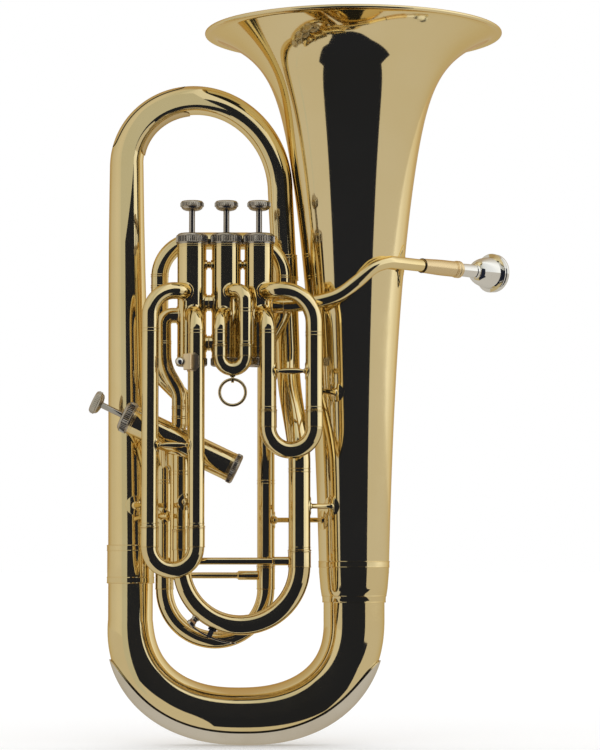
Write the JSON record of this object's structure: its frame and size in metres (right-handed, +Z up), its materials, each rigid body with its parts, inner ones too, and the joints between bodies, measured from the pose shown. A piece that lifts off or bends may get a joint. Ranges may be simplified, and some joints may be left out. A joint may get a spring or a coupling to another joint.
{
  "type": "baritone horn",
  "caption": "Upright valved baritone horn with a flared bell, top valves, a side valve, tuning slides and a detachable mouthpiece.",
  "frame": {"origin": "lowest point of the bottom bow guard, under the middle of the bottom bow and in the plane of the bell and branch axes", "axes": "+Z up along the bell axis to the bell rim, +X from the small branch towards the bell, +Y away from the valves"},
  "size_m": [0.408, 0.2892, 0.6905],
  "materials": {
    "bell_brass": "polished, clear lacquer",
    "tube_brass": "polished, clear lacquer",
    "satin_brass": "satin",
    "nickel_silver": "polished nickel silver",
    "dark_nickel": "dark polished nickel, knurled edges",
    "silver": "polished silver plate",
    "piston_metal": "lapped nickel plate",
    "steel": "drawn wire",
    "guide_plastic": "matte",
    "cork": "natural cork"
  },
  "bodies": {
    "horn_body": {"bell": "bell_brass", "bell_rim_wire": "steel", "bell_ferrule": "bell_brass", "bottom_bow": "tube_brass", "bottom_bow_guard": "nickel_silver", "branch_ferrule": "tube_brass", "top_bow": "tube_brass", "top_bow_guard": "tube_brass", "descending_ferrule": "tube_brass", "descending_branch": "tube_brass", "leadpipe": "tube_brass", "mouthpiece_receiver": "satin_brass", "valve_casing_1": "tube_brass", "valve_casing_2": "tube_brass", "valve_casing_3": "tube_brass", "valve_casing_4": "tube_brass", "valve_top_caps": "dark_nickel", "valve_bottom_caps": "dark_nickel", "valve_links": "tube_brass", "valve_guides": "guide_plastic", "piston_spring_1": "steel", "piston_spring_2": "steel", "piston_spring_3": "steel", "piston_spring_4": "steel", "first_slide_tubes": "tube_brass", "second_slide_tubes": "tube_brass", "third_slide_tubes": "tube_brass", "main_slide_tubes": "tube_brass", "fourth_slide_tubes": "tube_brass", "third_valve_outlet": "tube_brass", "fourth_valve_loop": "tube_brass", "slide_stays": "tube_brass", "body_stays": "tube_brass", "lyre_socket": "satin_brass"},
    "valve_1": {"piston_1": "piston_metal", "valve_stem_1": "dark_nickel", "finger_button_1": "dark_nickel"},
    "valve_2": {"piston_2": "piston_metal", "valve_stem_2": "dark_nickel", "finger_button_2": "dark_nickel"},
    "valve_3": {"piston_3": "piston_metal", "valve_stem_3": "dark_nickel", "finger_button_3": "dark_nickel"},
    "valve_4": {"piston_4": "piston_metal", "valve_stem_4": "dark_nickel", "finger_button_4": "dark_nickel"},
    "main_slide": {"main_tuning_slide": "tube_brass", "water_key_saddle": "dark_nickel"},
    "water_key": {"water_key": "dark_nickel", "water_key_cork": "cork"},
    "first_slide": {"first_valve_slide": "tube_brass"},
    "second_slide": {"second_valve_slide": "tube_brass"},
    "third_slide": {"third_valve_slide": "tube_brass"},
    "fourth_slide": {"fourth_valve_slide": "tube_brass"},
    "pull_ring": {"pull_ring": "tube_brass"},
    "mouthpiece": {"mouthpiece": "silver"},
    "lyre_screw": {"lyre_screw": "silver"}
  },
  "joints": [
    {"name": "valve_1_press", "type": "slide", "parent": "horn_body", "child": "valve_1", "axis": [0, 0, -1], "range_m": [0, 0.017], "stiffness_N_per_m": 100, "springref_m": -0.045, "deforming": ["piston_spring_1"]},
    {"name": "valve_2_press", "type": "slide", "parent": "horn_body", "child": "valve_2", "axis": [0, 0, -1], "range_m": [0, 0.017], "stiffness_N_per_m": 100, "springref_m": -0.045, "deforming": ["piston_spring_2"]},
    {"name": "valve_3_press", "type": "slide", "parent": "horn_body", "child": "valve_3", "axis": [0, 0, -1], "range_m": [0, 0.017], "stiffness_N_per_m": 100, "springref_m": -0.045, "deforming": ["piston_spring_3"]},
    {"name": "valve_4_press", "type": "slide", "parent": "horn_body", "child": "valve_4", "axis": [0.9018, 0, -0.4321], "range_m": [0, 0.017], "stiffness_N_per_m": 100, "springref_m": -0.045, "deforming": ["piston_spring_4"]},
    {"name": "first_slide_pull", "type": "slide", "parent": "horn_body", "child": "first_slide", "axis": [0, 0, -1], "range_m": [0, 0.045]},
    {"name": "second_slide_pull", "type": "slide", "parent": "horn_body", "child": "second_slide", "axis": [0, 0, -1], "range_m": [0, 0.01]},
    {"name": "third_slide_pull", "type": "slide", "parent": "horn_body", "child": "third_slide", "axis": [0, 0, -1], "range_m": [0, 0.08]},
    {"name": "fourth_slide_pull", "type": "slide", "parent": "horn_body", "child": "fourth_slide", "axis": [0, 0, -1], "range_m": [0, 0.03]},
    {"name": "main_slide_pull", "type": "slide", "parent": "horn_body", "child": "main_slide", "axis": [0, 0, -1], "range_m": [0, 0.04]},
    {"name": "water_key_lift", "type": "hinge", "parent": "main_slide", "child": "water_key", "pos_m": [-0.02947, -0.045, 0.1064], "axis": [0, -1, 0], "range_deg": [0, 14], "stiffness_Nm_per_rad": 0.02, "springref_deg": -28.65},
    {"name": "pull_ring_swing", "type": "hinge", "parent": "second_slide", "child": "pull_ring", "pos_m": [-0.00785, -0.073, 0.34715], "axis": [1, 0, 0], "range_deg": [-60, 60]},
    {"name": "mouthpiece_pull", "type": "slide", "parent": "horn_body", "child": "mouthpiece", "axis": [0.7071, 0.7071, 0], "range_m": [0, 0.04]},
    {"name": "lyre_screw_turn", "type": "hinge", "parent": "horn_body", "child": "lyre_screw", "pos_m": [-0.0538, -0.084, 0.3645], "axis": [1, 0, 0], "range_deg": [-360, 0]}
  ]
}
